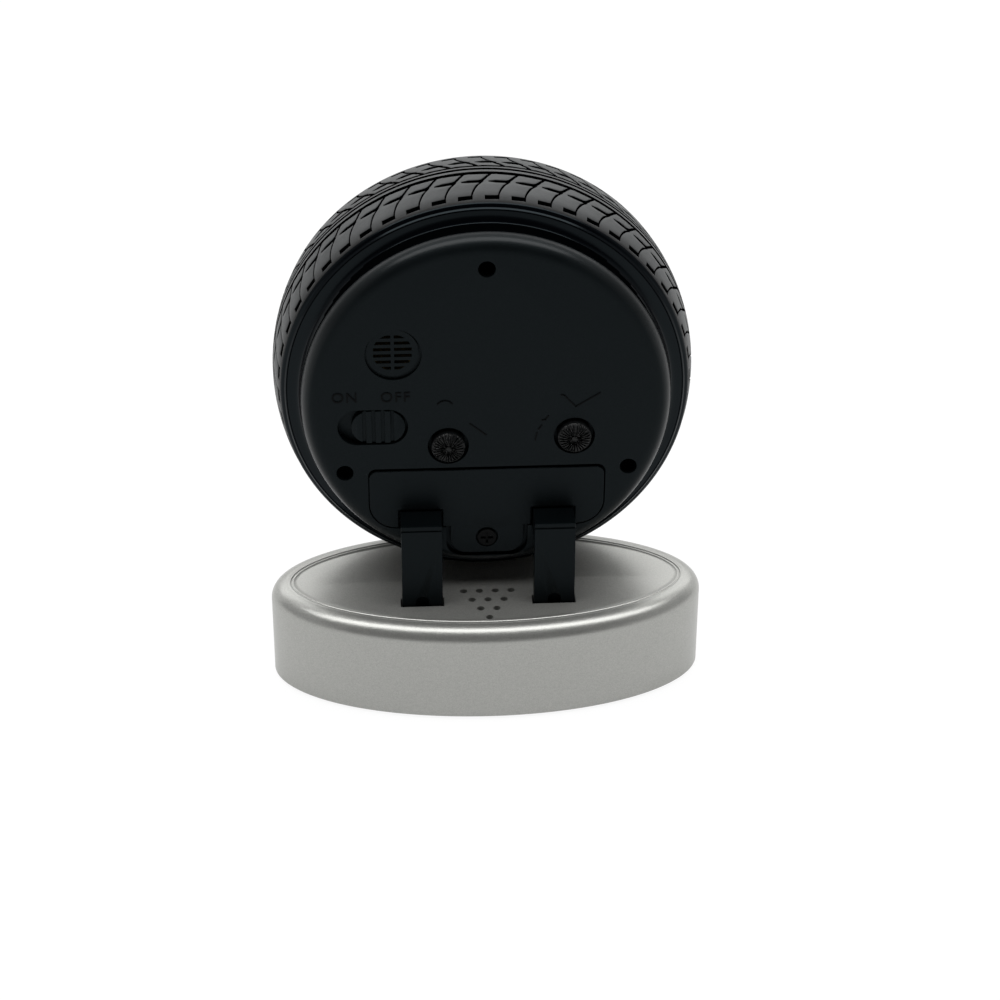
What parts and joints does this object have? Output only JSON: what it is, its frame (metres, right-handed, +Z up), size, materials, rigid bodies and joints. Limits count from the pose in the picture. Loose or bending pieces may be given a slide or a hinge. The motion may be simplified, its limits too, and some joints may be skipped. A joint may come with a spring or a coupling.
{
  "type": "desk clock",
  "caption": "Desk alarm clock shaped like an upright car wheel with a treaded tyre, on arms over an oval silver base with sound holes; setting knobs, alarm switch and battery door at the rear.",
  "frame": {"origin": "centre of the underside of the base pad, on the surface the clock stands on", "axes": "+Z up, the dial faces -Y and the knobs face +Y, +X is to the left of someone looking at the knobs"},
  "size_m": [0.106, 0.057, 0.1261],
  "materials": {
    "silver_paint": "metallic silver paint on moulded plastic",
    "black_plastic": "fine-grained black moulding",
    "tyre_rubber": "dark grey moulded rubber",
    "foam": "closed-cell foam sheet",
    "steel": "plain steel",
    "cone_paper": "treated paper",
    "board": "coated circuit board",
    "bezel_silver": "metallic silver paint on moulded plastic",
    "clear": "clear lens",
    "dial_black": "matt dial sheet",
    "cream_plastic": "low-friction gear plastic",
    "brass": "turned brass",
    "copper": "enamelled copper winding",
    "battery_wrap": "plain printed sleeve over a cell",
    "hand_white": "painted sheet hand",
    "hand_red": "painted sheet hand"
  },
  "bodies": {
    "case": {"base_shell": "silver_paint", "base_plate": "black_plastic", "base_pad": "foam", "base_screws": "steel", "speaker_frame": "steel", "speaker_cone": "cone_paper", "speaker_magnet": "steel", "sound_board": "board", "left_arm": "black_plastic", "right_arm": "black_plastic", "arm_screws": "steel", "tyre": "tyre_rubber", "front_case": "black_plastic", "rear_cover": "black_plastic", "cover_screws": "steel", "bezel": "bezel_silver", "lens": "clear", "dial": "dial_black", "front_plate": "cream_plastic", "middle_plate": "cream_plastic", "rear_plate": "cream_plastic", "plate_screws": "steel", "ear_screws": "steel", "stator": "steel", "coil": "copper", "circuit_board": "board", "quartz_crystal": "steel", "buzzer": "brass", "switch_body": "steel", "battery": "battery_wrap", "battery_contact": "steel", "battery_spring": "steel"},
    "second": {"second_wheel": "cream_plastic", "second_hand": "hand_red"},
    "third": {"third_wheel": "cream_plastic"},
    "centre": {"centre_wheel": "brass"},
    "intermediate": {"intermediate_wheel": "cream_plastic"},
    "rotor_body": {"rotor": "steel"},
    "minute": {"cannon_pinion": "brass", "minute_hand": "hand_white"},
    "motion": {"motion_wheel": "cream_plastic"},
    "hour": {"hour_wheel": "cream_plastic", "hour_hand": "hand_white"},
    "time_setter": {"time_arbor": "cream_plastic", "time_knob": "black_plastic"},
    "alarm_setter": {"alarm_arbor": "cream_plastic", "alarm_knob": "black_plastic"},
    "alarm": {"alarm_wheel": "cream_plastic", "alarm_hand": "hand_red"},
    "slider": {"switch_slider": "black_plastic"},
    "door": {"battery_door": "black_plastic"},
    "door_fastener": {"door_screw": "steel"}
  },
  "joints": [
    {"name": "second_spin", "type": "hinge", "parent": "case", "child": "second", "pos_m": [0, 0, 0.0752], "axis": [0, 1, 0], "continuous": true},
    {"name": "third_spin", "type": "hinge", "parent": "case", "child": "third", "pos_m": [-0.00612, 0, 0.0858], "axis": [0, 1, 0], "continuous": true},
    {"name": "centre_spin", "type": "hinge", "parent": "case", "child": "centre", "pos_m": [0, 0, 0.0752], "axis": [0, 1, 0], "continuous": true},
    {"name": "intermediate_spin", "type": "hinge", "parent": "case", "child": "intermediate", "pos_m": [0.00727, 0, 0.0794], "axis": [0, 1, 0], "continuous": true},
    {"name": "rotor_spin", "type": "hinge", "parent": "case", "child": "rotor_body", "pos_m": [0.01147, 0, 0.08667], "axis": [0, 1, 0], "continuous": true},
    {"name": "minute_spin", "type": "hinge", "parent": "case", "child": "minute", "pos_m": [0, 0, 0.0752], "axis": [0, 1, 0], "continuous": true},
    {"name": "motion_spin", "type": "hinge", "parent": "case", "child": "motion", "pos_m": [-0.00891, 0, 0.07175], "axis": [0, 1, 0], "continuous": true},
    {"name": "hour_spin", "type": "hinge", "parent": "case", "child": "hour", "pos_m": [0, 0, 0.0752], "axis": [0, 1, 0], "continuous": true},
    {"name": "time_knob_turn", "type": "hinge", "parent": "case", "child": "time_setter", "pos_m": [-0.0208, 0, 0.06715], "axis": [0, 1, 0], "continuous": true},
    {"name": "alarm_knob_turn", "type": "hinge", "parent": "case", "child": "alarm_setter", "pos_m": [0.0092, 0, 0.0652], "axis": [0, 1, 0], "continuous": true},
    {"name": "alarm_spin", "type": "hinge", "parent": "case", "child": "alarm", "pos_m": [0, 0, 0.0752], "axis": [0, 1, 0], "continuous": true},
    {"name": "switch_slide", "type": "slide", "parent": "case", "child": "slider", "axis": [1, 0, 0], "range_m": [0, 0.0026]},
    {"name": "door_lift", "type": "slide", "parent": "case", "child": "door", "axis": [0, 1, 0], "range_m": [0, 0.02]},
    {"name": "door_screw_turn", "type": "hinge", "parent": "door", "child": "door_fastener", "pos_m": [0, 0, 0.0395], "axis": [0, 1, 0], "continuous": true}
  ],
  "couplings": [
    {"joint": "third_spin", "follows": "second_spin", "ratio": -0.13333},
    {"joint": "centre_spin", "follows": "second_spin", "ratio": 0.016667},
    {"joint": "intermediate_spin", "follows": "second_spin", "ratio": -5},
    {"joint": "rotor_spin", "follows": "second_spin", "ratio": 30},
    {"joint": "motion_spin", "follows": "minute_spin", "ratio": -0.33333},
    {"joint": "hour_spin", "follows": "minute_spin", "ratio": 0.083333},
    {"joint": "time_knob_turn", "follows": "minute_spin", "ratio": 0.42857},
    {"joint": "alarm_spin", "follows": "alarm_knob_turn", "ratio": -0.71429}
  ]
}
